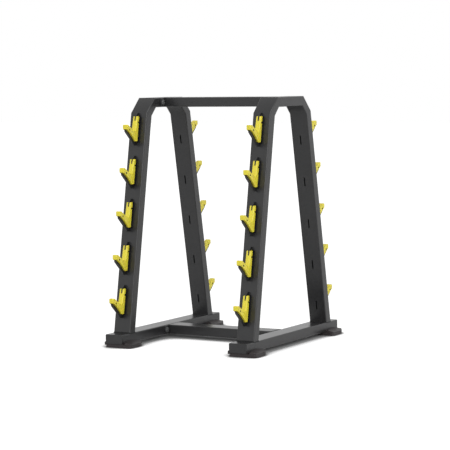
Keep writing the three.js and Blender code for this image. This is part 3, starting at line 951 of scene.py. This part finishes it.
@dataclass
class BarHook:
    """One bar hook: a steel plate through the leg and a yellow liner that straddles it.

    Its own drawing has the leg's outer face at zero and the top of the tip at zero height.
    """

    plate_top: ClassVar[float] = 68.0
    tube_depth: float = 60.0
    lean_slope: float = 240 / 1353
    joint_gap: float = 0.3
    # The steel plate, its tab and the skirt that shows below the liner
    plate_thickness: float = 8.0
    plate_top_width: float = 19.0
    plate_bottom: float = 133.0
    plate_edge: float = 0.8
    tab_height: float = 56.0
    tab_recess: float = 8.0
    skirt_start: Point = (150.0, -43.5)
    skirt_pull: Point = (110.5, -80.0)
    skirt_end: Point = (64.0, -120.5)
    bar_depth: float = 0.6
    # The liner's arm and post, which carry the bar between them
    liner_width: float = 33.0
    liner_back_gap: float = 14.0
    liner_bottom: float = 108.0
    liner_rim: float = 4.5
    post_top: float = 48.0
    post_front: float = 28.0
    post_lean: float = 14.3
    arm_rise: float = 33.4
    crotch_radius: float = 16.0
    tip_reach: float = 150.0
    tip_land: float = 18.0
    tip_drop: float = 28.0
    belly: Point = (102.0, -54.0)
    heel: Point = (60.0, -102.5)
    heel_radius: float = 9.0
    nose_radius: float = 12.0
    edge_radius: float = 5.0
    # The liner's slot, which leaves a web over the plate and a fork at the post's top
    web: float = 7.0
    tip_wall: float = 4.0
    notch_depth: float = 28.0
    prong_edge: float = 2.4
    # The sunk screws in its sides, each in a black sleeve that is painted shade for its hole
    screw_places: tuple[Point, ...] = ((119.0, -31.5), (20.5, 10.0))
    counterbore_radius: float = 6.0
    counterbore_depth: float = 6.5
    shade_sleeve_wall: float = 0.7
    screw_depth: float = 5.0
    screw_radius: float = 4.4
    socket_radius: float = 2.2
    # The black strips behind it: painted shade for the gap between liner and leg
    shade_sheet_top: float = 47.0
    shade_sheet_bottom: float = 113.0
    shade_sheet_overlap: float = 0.6
    shade_sheet_edge: float = 1.0
    # How many chords draw each arc and each curve
    arc_steps: int = 7
    curve_steps: int = 14

    def build(self) -> None:
        """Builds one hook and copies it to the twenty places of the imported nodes."""
        plate = self.plate("hook_plate_pattern")
        liner = self.liner("hook_liner_pattern")
        screws = self.screws("hook_screw_pattern")
        shade_sheet = self.shade_sheet("hook_shade_sheet_pattern")
        for side in Side:
            for end in End:
                for number in range(1, HOOKS_PER_LEG + 1):
                    self.hang(f"{side.value}_{end.label}_hook", number, end, plate, liner, screws, shade_sheet)
        for pattern in (plate, liner, screws, shade_sheet):
            pattern.discard()

    def hang(self, prefix: str, number: int, end: End, plate: Workpiece, liner: Workpiece, screws: Workpiece,
             shade_sheet: Workpiece) -> None:
        """Copies one hook to its place.

        Args:
            prefix: The start of its node names.
            number: Its number, from the lowest.
            end: The end of the side frame.
            plate: The plate to copy.
            liner: The liner to copy.
            screws: The liner's screws to copy.
            shade_sheet: The black strips of painted shade to copy.
        """
        node, liner_node = f"{prefix}_plate_{number}", f"{prefix}_liner_{number}"
        low, high = node_box(node)
        reach = high.y - self.tip_reach if end is End.REAR else low.y + self.tip_reach
        hang_point = Vector(((low.x + high.x) / 2, reach, high.z - self.plate_top))
        place = Matrix.Translation(hang_point) @ Matrix.Rotation(end.turn, 4, "Z")
        plate.copy(f"{prefix}_plate_steel_{number}", place).finish(PLATE_COAT_AND_SHADE, [node])
        liner.copy(f"{prefix}_liner_moulding_{number}", place).finish(LINER_PLASTIC, [liner_node])
        screws.copy(f"{prefix}_liner_screws_{number}", place).finish(SCREW_STEEL_AND_SHADE)
        shade_sheet.copy(f"{prefix}_packing_{number}", place).finish(PAINTED_SHADE_SHEET)

    def arm_line(self, depth: float) -> Line:
        """Gives the arm's upper face, moved into the arm.

        Args:
            depth: How far it is moved.

        Returns:
            The line in the hook's own drawing.
        """
        rise = math.radians(self.arm_rise)
        start = Vector((self.tip_reach - self.tip_land + math.sin(rise) * depth, -math.cos(rise) * depth))
        return Line(start, Vector((math.cos(rise), math.sin(rise))))

    def post_line(self, depth: float) -> Line:
        """Gives the post's front face, moved into the post.

        Args:
            depth: How far it is moved.

        Returns:
            The line in the hook's own drawing.
        """
        lean = math.radians(self.post_lean)
        start = Vector((self.post_front - math.cos(lean) * depth, self.post_top - math.sin(lean) * depth))
        return Line(start, Vector((-math.sin(lean), math.cos(lean))))

    def belly_curve(self) -> list[Point]:
        """Draws the liner's underside from the tip to the heel."""
        return curve((self.tip_reach, -self.tip_drop), self.belly, self.heel, self.curve_steps)

    def plate(self, name: str) -> Workpiece:
        """Cuts the plate, with its tab for the leg's slots and its skirt below the liner.

        Args:
            name: The piece's name.

        Returns:
            The plate.
        """
        lean = math.atan(self.lean_slope)
        outward = Vector((math.cos(lean), math.sin(lean)))
        upward = Vector((-math.sin(lean), math.cos(lean)))
        top_face = -self.plate_top * self.lean_slope
        root = Vector((self.plate_bottom * self.lean_slope, -self.plate_bottom))
        tab_low = root - outward * (self.tube_depth - self.tab_recess)
        tab_high = tab_low + upward * self.tab_height
        root = root + outward * self.joint_gap
        root_high = root + upward * self.tab_height
        web = self.web
        crotch = self.arm_line(web).meet(self.post_line(web))
        notch = self.post_top - self.notch_depth + self.joint_gap
        bar_low = self.post_line(self.bar_depth).meet(Line.level(notch))
        bar_high = self.post_line(self.bar_depth).meet(Line.level(self.post_top))
        arm_end = self.arm_line(web).meet(Line.level(-web))
        skirt = curve(self.skirt_start, self.skirt_pull, self.skirt_end, self.curve_steps)
        near_skin = self.belly_curve()
        share = self.tip_wall / (self.tip_reach - near_skin[1][0])
        step_y = near_skin[0][1] + (near_skin[1][1] - near_skin[0][1]) * share
        heel, before = skirt[-1], skirt[-2]
        run = (heel[1] + self.plate_bottom) * (before[0] - heel[0]) / (before[1] - heel[1])
        outline = rounded([
            (top_face + self.joint_gap, self.plate_top, 0),
            (root_high.x, root_high.y, 0),
            (tab_high.x, tab_high.y, 0),
            (tab_low.x, tab_low.y, 0),
            (root.x, root.y, 0),
            (heel[0] - run, -self.plate_bottom, self.heel_radius),
            *[(y, z, 0) for y, z in reversed(skirt)],
            (self.tip_reach, -self.tip_drop - self.joint_gap, 0),
            (self.tip_reach - self.tip_wall, step_y - self.joint_gap, 0),
            (self.tip_reach - self.tip_wall, arm_end[1], 0),
            (arm_end[0], arm_end[1], 0),
            (crotch[0], crotch[1], self.crotch_radius + web),
            (*self.post_line(web).meet(Line.level(notch)), 0),
            (bar_low[0], bar_low[1], 0),
            (bar_high[0], bar_high[1], self.edge_radius),
            (top_face + self.plate_top_width, self.plate_top, self.edge_radius),
        ], self.arc_steps)
        plate = Workpiece.slab(name, outline, self.plate_thickness)
        plate.round_edges(self.plate_edge, 2, in_side_faces(self.plate_thickness / 2))
        return plate.smooth(35)

    def liner(self, name: str) -> Workpiece:
        """Moulds the liner: a solid form with a rounded rim, slotted for the plate.

        Args:
            name: The piece's name.

        Returns:
            The liner.
        """
        crotch = self.arm_line(0).meet(self.post_line(0))
        slope = self.lean_slope
        nose = Line.through(self.belly, self.heel, 0).meet(Line.level(-self.liner_bottom))
        outline = rounded([
            (self.liner_back_gap - self.post_top * slope, self.post_top, self.edge_radius),
            (self.liner_back_gap + self.liner_bottom * slope, -self.liner_bottom, self.edge_radius),
            (nose[0], nose[1], self.nose_radius),
            *[(y, z, 0) for y, z in reversed(self.belly_curve())],
            (self.tip_reach, 0, self.edge_radius),
            (self.tip_reach - self.tip_land, 0, self.edge_radius),
            (crotch[0], crotch[1], self.crotch_radius),
            (self.post_front, self.post_top, self.edge_radius),
        ], self.arc_steps)
        body = Workpiece.slab(name, outline, self.liner_width)
        body.round_edges(self.liner_rim, 4, in_side_faces(self.liner_width / 2))
        clear = self.web - self.joint_gap
        hollow_crotch = self.arm_line(clear).meet(self.post_line(clear))
        arm_end = self.arm_line(clear).meet(Line.level(-clear))
        notch = self.post_line(clear).meet(Line.level(self.post_top - self.notch_depth))
        end = self.tip_reach - self.tip_wall + self.joint_gap
        far, deep, high = -self.tip_reach, -self.plate_bottom * 2, self.plate_top * 2
        slot = Workpiece.slab(f"{name}_slot", rounded([
            (far, high, 0), (far, deep, 0), (end, deep, 0), (end, arm_end[1], 0), (arm_end[0], arm_end[1], 0),
            (hollow_crotch[0], hollow_crotch[1], self.crotch_radius + clear), (notch[0], notch[1], 0),
            (self.tip_reach, notch[1], 0), (self.tip_reach, high, 0),
        ], self.arc_steps), self.plate_thickness + self.joint_gap * 2)
        body.join(slot, Joining.CUT)
        sink = self.counterbore_depth
        for place in self.screw_seats():
            hole = Workpiece.turned(f"{name}_hole", [(-sink, 0), (-sink, self.counterbore_radius),
                                                     (sink, self.counterbore_radius), (sink, 0)],
                                    (1, 0, 0), 24)
            body.join(hole.moved(place), Joining.CUT)
        in_slot = in_side_faces(self.plate_thickness / 2 + self.joint_gap)
        body.round_edges(self.prong_edge, 3, lambda first, second: (
            in_slot(first, second) and min(first.z, second.z) > notch[1] - 0.01
            and max(first.z, second.z) > notch[1] + 0.1))
        return body.smooth(35)

    def screw_seats(self) -> list[Matrix]:
        """Lists the moves that take a screw to its seats in the liner's two side faces."""
        half = self.liner_width / 2
        return [Matrix.Translation((x, y, z)) @ Matrix.Rotation(turn, 4, "Z")
                for x, turn in ((half, 0.0), (-half, math.pi)) for y, z in self.screw_places]

    def shade_sheet(self, name: str) -> Workpiece:
        """Cuts the two black strips that fill the gap between liner and leg, beside the plate: painted shade,
        dark sheets put where there is only shadow.

        Args:
            name: The piece's name.

        Returns:
            The strips, as one piece.
        """
        top, bottom, slope = self.shade_sheet_top, -self.shade_sheet_bottom, self.lean_slope
        near, far = self.joint_gap, self.liner_back_gap - self.joint_gap
        outline = [(near - top * slope, top), (near - bottom * slope, bottom),
                   (far - bottom * slope, bottom), (far - top * slope, top)]
        strips = Workpiece.slab(name, outline, self.liner_width + self.shade_sheet_overlap * 2)
        reach = self.tip_reach
        slot = Workpiece.slab(f"{name}_slot",
                              [(-reach, reach), (-reach, -reach), (reach, -reach), (reach, reach)],
                              self.plate_thickness + self.joint_gap * 2)
        strips.join(slot, Joining.CUT)
        return strips.soften(self.shade_sheet_edge, 2, 60).smooth(40)

    def screws(self, name: str) -> Workpiece:
        """Makes the liner's four sunk screws, two in each side face, each in a black sleeve that lines its
        counterbore: painted shade for the hollow.

        Args:
            name: The piece's name.

        Returns:
            The screws, as one piece.
        """
        outer = self.counterbore_radius - self.joint_gap / 10
        bore = outer - self.shade_sleeve_wall
        bottom, head = -self.counterbore_depth, -self.screw_depth
        profile = [(bottom, 0), (bottom, outer), (-self.joint_gap, outer), (-self.joint_gap, bore),
                   (head - 0.5, bore), (head - 0.5, self.screw_radius), (head + 0.4, self.screw_radius - 0.6),
                   (head + 0.4, self.socket_radius), (bottom + 0.4, self.socket_radius), (bottom + 0.3, 0)]
        first = Workpiece.turned(f"{name}_first", profile, (1, 0, 0), 24).smooth(30)
        copies = [first.copy(name, place) for place in self.screw_seats()]
        first.discard()
        clear_selection()
        for piece in copies:
            piece.obj.select_set(True)
        bpy.context.view_layer.objects.active = copies[0].obj
        bpy.ops.object.join()
        return copies[0]


@dataclass
class Foot:
    """One moulded foot: a sole under the beam's end, a domed ear with a screw niche, and two lugs."""

    side: Side
    end: End
    half_width: float = 60.0
    joint_gap: float = 0.3
    # The sole
    sole_top: float = 19.7
    sole_inset: float = 4.0
    corner_radius: float = 5.0
    edge: float = 1.5
    steps: int = 10
    # The ear beside the beam: a ledge and a brow at its front, and a lobe that falls to the rear
    ear_height: float = 37.0
    ear_outer_height: float = 24.0
    ear_edge_radius: float = 4.0
    ear_front_radius: float = 14.0
    ear_rear_radius: float = 90.0
    ledge_height: float = 20.4
    ledge_length: float = 6.0
    ledge_radius: float = 2.0
    brow_start: float = 12.0
    brow_height: float = 32.0
    brow_radius: float = 4.0
    lobe_start: float = 95.0
    lobe_end: float = 138.0
    lobe_rear_height: float = 21.5
    lobe_radius: float = 60.0
    # The two lugs on the beam's other side
    lug_reach: float = 9.0
    lug_length: float = 22.0
    lug_bottom: float = 14.0
    lug_top: float = 34.0
    # The niche in the ear's front, and the fixing screw in it
    niche_radius: float = 10.5
    niche_from_front: float = 16.0
    niche_from_beam: float = 11.8
    niche_floor: float = 8.0
    screw_radius: float = 6.0
    screw_height: float = 5.0
    socket_radius: float = 3.5

    def build(self) -> None:
        """Builds and dresses the foot and its screw."""
        node = f"{self.side.value}_{self.end.label}_foot"
        low, high = node_box(node)
        home = Matrix.Translation((low.x + self.lug_reach + self.half_width, (low.y + high.y) / 2, 0))
        reach = high.x - low.x - self.lug_reach - self.half_width
        body = self.body(f"{node}_moulding", reach, high.y - low.y)
        body.moved(home).finish(FOOT_RUBBER, [node])
        screw = self.screw(f"{node}_screw")
        screw.moved(home @ self.niche_place(high.y - low.y)).finish(BOLT_STEEL)

    def niche_place(self, length: float) -> Matrix:
        """Gives the move from the middle of a foot of some length to its niche's floor."""
        return Matrix.Translation((self.half_width + self.niche_from_beam, self.niche_from_front - length / 2,
                                   self.niche_floor))

    def plan(self, reach: float, length: float, skin: float) -> list[Point]:
        """Draws the foot from above, with a wide round at the rear of the ear.

        Args:
            reach: The ear's edge, from the beam's centre line.
            length: The foot's length along the beam.
            skin: How far the three outer sides are moved inwards.

        Returns:
            The outline's points as (x, y).
        """
        front, rear, edge = skin - length / 2, length / 2 - skin, reach - skin
        inner = self.sole_inset - self.half_width
        return rounded([(inner, front, self.corner_radius), (edge, front, self.ear_front_radius),
                        (edge, rear, self.ear_rear_radius), (inner, rear, self.corner_radius)], self.steps)

    def body(self, name: str, reach: float, length: float) -> Workpiece:
        """Moulds the foot's body: the sole with its ear, the niche and the two lugs.

        Args:
            name: The piece's name.
            reach: The ear's edge, from the beam's centre line.
            length: The foot's length along the beam.

        Returns:
            The body.
        """
        sole = Workpiece.prism(name, [(x, y, 0) for x, y in self.plan(reach, length, 0.0)],
                               (0, 0, self.sole_top))
        sole.round_edges(self.edge * 2, 4, lambda first, second: max(first.z, second.z) < 0.01)
        sole.join(self.ear(f"{name}_ear", reach, length), Joining.ADD)
        radius, height = self.niche_radius, self.ear_height
        niche = Workpiece.turned(f"{name}_niche", [(0, 0), (0, radius), (height, radius), (height, 0)],
                                 (0, 0, 1), 40)
        sole.join(niche.moved(self.niche_place(length)), Joining.CUT)
        for lug_start in (-length / 2, length / 2 - self.lug_length):
            lug, root = self.lug(f"{name}_lug", lug_start)
            sole.join(lug, Joining.ADD).join(root, Joining.ADD)
        return sole.smooth(40)

    def ear(self, name: str, reach: float, length: float) -> Workpiece:
        """Shapes the ear beside the beam by meeting its plan, its section and its side view.

        Its walls stand a little inside the sole's, so that no two faces share a plane.

        Args:
            name: The piece's name.
            reach: The ear's edge, from the beam's centre line.
            length: The foot's length along the beam.

        Returns:
            The ear.
        """
        front, rear, overrun = -length / 2, length / 2, self.corner_radius
        start = self.half_width + self.joint_gap
        plan = self.plan(reach, length, self.joint_gap)
        ear = Workpiece.prism(name, [(x, y, self.corner_radius) for x, y in plan], (0, 0, self.ear_height))
        across = rounded([(start, -overrun, 0), (reach + overrun, -overrun, 0),
                          (reach, self.ear_outer_height, self.ear_edge_radius),
                          (start, self.ear_height, 0)], self.steps)
        ear.join(Workpiece.prism(f"{name}_across", [(x, front - overrun, z) for x, z in across],
                                 (0, length + overrun * 2, 0)), Joining.KEEP_COMMON)
        along = rounded([
            (front - overrun, -overrun, 0),
            (rear + overrun, -overrun, 0),
            (rear + overrun, self.lobe_rear_height, 0),
            (rear, self.lobe_rear_height, 0),
            (front + self.lobe_end, self.ear_height, self.lobe_radius),
            (front + self.lobe_start, self.ear_height, self.lobe_radius),
            (front + self.brow_start, self.brow_height, self.brow_radius),
            (front + self.ledge_length, self.ledge_height, self.ledge_radius),
            (front - overrun, self.ledge_height, 0),
        ], self.steps)
        ear.join(Workpiece.slab(f"{name}_along", along, reach * 4), Joining.KEEP_COMMON)
        return ear.soften(self.edge, 3, 40)

    def lug(self, name: str, start: float) -> tuple[Workpiece, Workpiece]:
        """Makes one lug on the beam's far side, and the root that ties it to the sole below the beam.

        Args:
            name: The piece's name.
            start: Where the lug starts along the beam.

        Returns:
            The lug and its root.
        """
        outer = -self.half_width - self.lug_reach
        near, far = start + self.corner_radius, start + self.lug_length - self.corner_radius
        lug = Workpiece.block(name, (outer, near, self.lug_bottom),
                              (-self.half_width - self.joint_gap, far, self.lug_top))
        root = Workpiece.block(f"{name}_root",
                               (outer + self.lug_reach / 2, near + self.edge, self.lug_bottom + self.edge),
                               (self.sole_inset - self.half_width + self.corner_radius, far - self.edge,
                                self.sole_top - self.joint_gap))
        return lug.soften(self.edge, 3, 40), root

    def screw(self, name: str) -> Workpiece:
        """Turns the fixing screw that stands in the niche.

        Args:
            name: The piece's name.

        Returns:
            The screw.
        """
        radius, height = self.screw_radius, self.screw_height
        profile = [(-1, 0), (-1, radius), (height - 1, radius), (height, radius - 1),
                   (height, self.socket_radius), (height / 2, self.socket_radius), (height / 2, 0)]
        return Workpiece.turned(name, profile, (0, 0, 1), 32).smooth(30)


@dataclass
class CrossBeam:
    """One cross beam: a tube with a welded flange at each end, bolted to the side frames."""

    level: Level
    tube_width: float = 120.0
    tube_depth: float = 60.0
    corner_radius: float = 6.0
    flange_thickness: float = 6.0
    flange_ear_radius: float = 26.0
    flange_edge: float = 0.8
    weld: float = 4.0
    bolt_reach: float = 80.0
    bolt_radius: float = 8.0
    washer_radius: float = 19.0
    washer_height: float = 2.5
    head_height: float = 6.5
    socket_radius: float = 6.0
    socket_depth: float = 4.0
    steps: int = 5

    def build(self) -> None:
        """Builds and dresses the beam, its welds, washers and bolts."""
        name = f"{self.level.value}_cross_beam"
        low, high = node_box(name)
        centre = (low + high) / 2
        length = high.x - low.x
        home = Matrix.Translation(centre)
        self.beam(f"{name}_tube", length).moved(home).finish(FRAME_COAT, [name])
        seat = length / 2 - self.flange_thickness
        bolt = self.bolt("bolt_pattern")
        washer = self.washer("washer_pattern")
        weld = self.flange_weld("weld_pattern")
        for side in Side:
            turn = 0.0 if side is Side.LEFT else math.pi
            face = home @ Matrix.Rotation(turn, 4, "Z") @ Matrix.Translation((-seat, 0, 0))
            weld.copy(f"{self.level.value}_{side.value}_flange_weld", face).finish(WELD_COAT_AND_SHADE)
            for end in End:
                front = -1.0 if (end is End.FRONT) == (turn == 0.0) else 1.0
                place = face @ Matrix.Translation((0, front * self.bolt_reach, 0))
                prefix = f"{self.level.value}_{side.value}"
                nodes = [f"{prefix}_flange_bolt"] if end is End.FRONT else []
                washer.copy(f"{prefix}_{end.label}_washer", place).finish(BOLT_STEEL)
                bolt.copy(f"{prefix}_{end.label}_bolt", place).finish(BOLT_STEEL, nodes)
        for pattern in (bolt, washer, weld):
            pattern.discard()

    def section(self, growth: float) -> list[Point]:
        """Draws the tube's section, grown by a distance.

        Args:
            growth: How far every side is moved outwards.

        Returns:
            The outline's points as (y, z).
        """
        right, top = self.tube_width / 2 + growth, self.tube_depth / 2 + growth
        radius = self.corner_radius + growth
        return rounded([(-right, -top, radius), (right, -top, radius), (right, top, radius),
                        (-right, top, radius)], self.steps)

    def beam(self, name: str, length: float) -> Workpiece:
        """Makes the tube with its two flanges.

        Args:
            name: The piece's name.
            length: The length over the flanges.

        Returns:
            The beam.
        """
        beam = Workpiece.slab(name, self.section(0), length)
        ear = self.flange_ear_radius
        straight = self.bolt_reach
        outline = [(straight + ear * math.cos(angle), ear * math.sin(angle))
                   for angle in (math.pi * (step / 24 - 0.5) for step in range(25))]
        outline += [(-y, -z) for y, z in outline]
        half = self.flange_thickness / 2
        for x in (half - length / 2, length / 2 - half):
            flange = Workpiece.slab(f"{name}_flange", outline, self.flange_thickness)
            flange.round_edges(self.flange_edge, 2, in_side_faces(half))
            beam.join(flange.moved(Matrix.Translation((x, 0, 0))), Joining.ADD)
        return beam.smooth(35)

    def flange_weld(self, name: str) -> Workpiece:
        """Runs the fillet weld round the tube on the flange's inner face, at X = 0.

        Args:
            name: The piece's name.

        Returns:
            The weld.
        """
        low = -self.flange_thickness / 2
        reach = self.tube_width / 2
        bead = Workpiece.prism(name, [(low, y, z) for y, z in self.section(0)], (self.weld - low, 0, 0))
        for direction in (-1.0, 1.0):
            profile = [(low, reach - 1), (self.weld, reach - 1), (self.weld * 0.45, reach + self.weld * 0.45),
                       (0, reach + self.weld), (low, reach + self.weld)]
            height = self.flange_ear_radius * 0.82
            strip = Workpiece.prism(f"{name}_strip", [(x, y * direction, -height) for x, y in profile],
                                    (0, 0, height * 2))
            bead.join(strip, Joining.ADD)
        return bead.smooth(50)

    def washer(self, name: str) -> Workpiece:
        """Turns the washer on the flange, its seat at X = 0.

        Args:
            name: The piece's name.

        Returns:
            The washer.
        """
        radius, height, hole = self.washer_radius, self.washer_height, self.bolt_radius
        profile = [(0, hole), (0, radius), (height - 0.6, radius), (height, radius - 0.6), (height, hole),
                   (0, hole)]
        return Workpiece.turned(name, profile, (1, 0, 0), 48).smooth(30)

    def bolt(self, name: str) -> Workpiece:
        """Turns the button-head bolt that stands on the washer.

        Args:
            name: The piece's name.

        Returns:
            The bolt.
        """
        start, rise = self.washer_height, self.head_height
        radius, socket, top = self.washer_radius - 2.5, self.socket_radius, start + rise
        dome = [(start + 0.6 + (rise - 0.6) * math.sin(angle), radius * math.cos(angle))
                for angle in (math.pi / 2 * step / 10 for step in range(8))]
        profile = [(-self.flange_thickness, 0), (-self.flange_thickness, self.bolt_radius),
                   (start, self.bolt_radius), (start, radius), *dome, (top, socket + 0.8),
                   (top - 0.8, socket), (top - self.socket_depth, socket), (top - self.socket_depth - 0.8, 0)]
        return Workpiece.turned(name, profile, (1, 0, 0), 48).smooth(30)


# Studio


@dataclass(frozen=True)
class Lamp:
    """One far, soft lamp: where it stands, how wide it looks in degrees and what it gives.

    A lamp that isn't in the gloss lights the rack but leaves no highlight on it.
    """

    name: str
    place: tuple[float, float, float]
    spread: float
    strength: float
    in_gloss: bool = True


@dataclass
class Studio:
    """The pale floor, the white surroundings, the soft lamps and the camera. Places are in metres.

    The floor has three colours: the one that the camera sees, lifted to white but for the shade
    within shadow_reach of the rack, the one in the rack's gloss and the one that bounces light
    back. The surroundings are plain white to the camera and in gloss. As light they fall from
    horizon to zenith, so that the rack's sides get more than its tops.
    """

    floor_size: float = 80.0
    floor_colour: str = "8c8c8c"
    floor_in_gloss: str = "f0f0f0"
    floor_bounce: str = "9c9c9c"
    floor_lift: float = 0.9
    floor_lift_in_shade: float = 0.02
    shadow_reach: float = 0.16
    full_shade: float = 0.62
    no_shade: float = 0.88
    horizon: float = 1.46
    zenith: float = 0.3
    lamps: tuple[Lamp, ...] = (
        Lamp("key", (3.9, -6.8, 4.2), 40.0, 1.15),
        Lamp("side", (9.0, -1.0, 2.4), 95.0, 0.85),
        Lamp("rear", (-5.0, 8.0, 5.0), 80.0, 0.5, in_gloss=False),
    )
    camera_place: tuple[float, float, float] = (5.83904, -9.91859, 1.69654)
    camera_right: tuple[float, float, float] = (0.86199123, 0.50669695, -0.01514351)
    camera_forward: tuple[float, float, float] = (-0.50605469, 0.85838239, -0.08419216)
    lens: float = 147.48
    sensor: float = 36.0

    def build(self) -> None:
        """Sets up the whole studio."""
        self.floor()
        self.world()
        for lamp in self.lamps:
            self.light(lamp)
        self.camera()
        bpy.context.scene.view_settings.view_transform = "Standard"
        LOG.info("studio: floor, world, %d lamps and camera", len(self.lamps))

    def seen_rays(self, tree: bpy.types.NodeTree) -> bpy.types.NodeSocket:
        """Marks the rays that show the surroundings: to the camera, in gloss and through glass.

        Args:
            tree: The node tree.

        Returns:
            The output that is one for such a ray.
        """
        path = add_node(tree, "ShaderNodeLightPath")
        first = add_node(tree, "ShaderNodeMath", {"operation": "MAXIMUM"},
                         {0: path.outputs["Is Camera Ray"], 1: path.outputs["Is Glossy Ray"]})
        both = add_node(tree, "ShaderNodeMath", {"operation": "MAXIMUM"},
                        {0: first.outputs[0], 1: path.outputs["Is Transmission Ray"]})
        return both.outputs[0]

    def floor(self) -> None:
        """Lays the floor, a pale matt sheet that the camera sees as white and that keeps the shadow."""
        clear_selection()
        bpy.ops.mesh.primitive_plane_add(size=self.floor_size, location=(0, 0, 0))
        sheet = bpy.context.active_object
        sheet.name = "studio_floor"
        material = bpy.data.materials.new("matt_paper_floor")
        material.use_nodes = True
        tree = material.node_tree
        tree.nodes.clear()
        path = add_node(tree, "ShaderNodeLightPath")
        open_sky = add_node(tree, "ShaderNodeAmbientOcclusion",
                            {"Distance": self.shadow_reach, "samples": 16})
        clear = add_node(tree, "ShaderNodeMapRange",
                         {"From Min": self.full_shade, "From Max": self.no_shade,
                          "To Min": self.floor_lift_in_shade, "To Max": self.floor_lift},
                         {"Value": open_sky.outputs["AO"]})
        glow = add_node(tree, "ShaderNodeEmission", links={"Strength": clear.outputs["Result"]})
        paper = add_node(tree, "ShaderNodeBsdfDiffuse", {"Color": linear(self.floor_colour)})
        looked_at = add_node(tree, "ShaderNodeAddShader", links={0: paper.outputs[0], 1: glow.outputs[0]})
        bounce = add_node(tree, "ShaderNodeBsdfDiffuse", {"Color": linear(self.floor_bounce)})
        in_gloss = add_node(tree, "ShaderNodeBsdfDiffuse", {"Color": linear(self.floor_in_gloss)})
        unseen = add_node(tree, "ShaderNodeMixShader",
                          links={0: self.seen_rays(tree), 1: bounce.outputs[0], 2: in_gloss.outputs[0]})
        both = add_node(tree, "ShaderNodeMixShader", links={
            0: path.outputs["Is Camera Ray"], 1: unseen.outputs[0], 2: looked_at.outputs[0]})
        add_node(tree, "ShaderNodeOutputMaterial", links={"Surface": both.outputs[0]})
        sheet.data.materials.append(material)

    def world(self) -> None:
        """Makes the surroundings white to look at and even and soft as light."""
        world = bpy.data.worlds.new("white_surroundings")
        bpy.context.scene.world = world
        world.use_nodes = True
        tree = world.node_tree
        tree.nodes.clear()
        place = add_node(tree, "ShaderNodeTexCoord")
        height = add_node(tree, "ShaderNodeSeparateXYZ", links={0: place.outputs["Generated"]})
        soft = add_node(tree, "ShaderNodeMapRange", {"To Min": self.horizon, "To Max": self.zenith},
                        {"Value": height.outputs["Z"]})
        strength = add_node(tree, "ShaderNodeMapRange", {"To Max": 1.0},
                            {"Value": self.seen_rays(tree), "To Min": soft.outputs["Result"]})
        light = add_node(tree, "ShaderNodeBackground", {"Color": (1, 1, 1, 1)},
                         {"Strength": strength.outputs["Result"]})
        add_node(tree, "ShaderNodeOutputWorld", links={"Surface": light.outputs[0]})

    def light(self, lamp: Lamp) -> None:
        """Hangs one far lamp, turned to the rack's foot.

        Args:
            lamp: The lamp.
        """
        data = bpy.data.lights.new(lamp.name, "SUN")
        data.angle = math.radians(lamp.spread)
        data.energy = lamp.strength
        obj = bpy.data.objects.new(f"lamp_{lamp.name}", data)
        obj.location = lamp.place
        obj.visible_glossy = lamp.in_gloss
        obj.rotation_euler = (-Vector(lamp.place)).to_track_quat("-Z", "Y").to_euler()
        bpy.context.scene.collection.objects.link(obj)

    def camera(self) -> None:
        """Stands the camera where the photograph was taken from."""
        data = bpy.data.cameras.new("camera")
        data.lens = self.lens
        data.sensor_width = self.sensor
        data.sensor_fit = "HORIZONTAL"
        data.clip_end = self.floor_size * 2
        right = Vector(self.camera_right).normalized()
        forward = Vector(self.camera_forward).normalized()
        up = right.cross(forward)
        turn = Matrix((right, up, -forward)).transposed().to_4x4()
        obj = bpy.data.objects.new("camera", data)
        obj.matrix_world = Matrix.Translation(self.camera_place) @ turn
        bpy.context.scene.collection.objects.link(obj)
        bpy.context.scene.camera = obj


def main() -> None:
    """Builds the rack piece by piece, then the studio."""
    logging.basicConfig(level=logging.INFO, format="%(name)s %(message)s")
    for side in Side:
        SideFrame(side).build()
        for end in End:
            Foot(side, end).build()
    for level in Level:
        CrossBeam(level).build()
    BarHook().build()
    Studio().build()
    clear_selection()


if __name__ == "__main__":
    main()
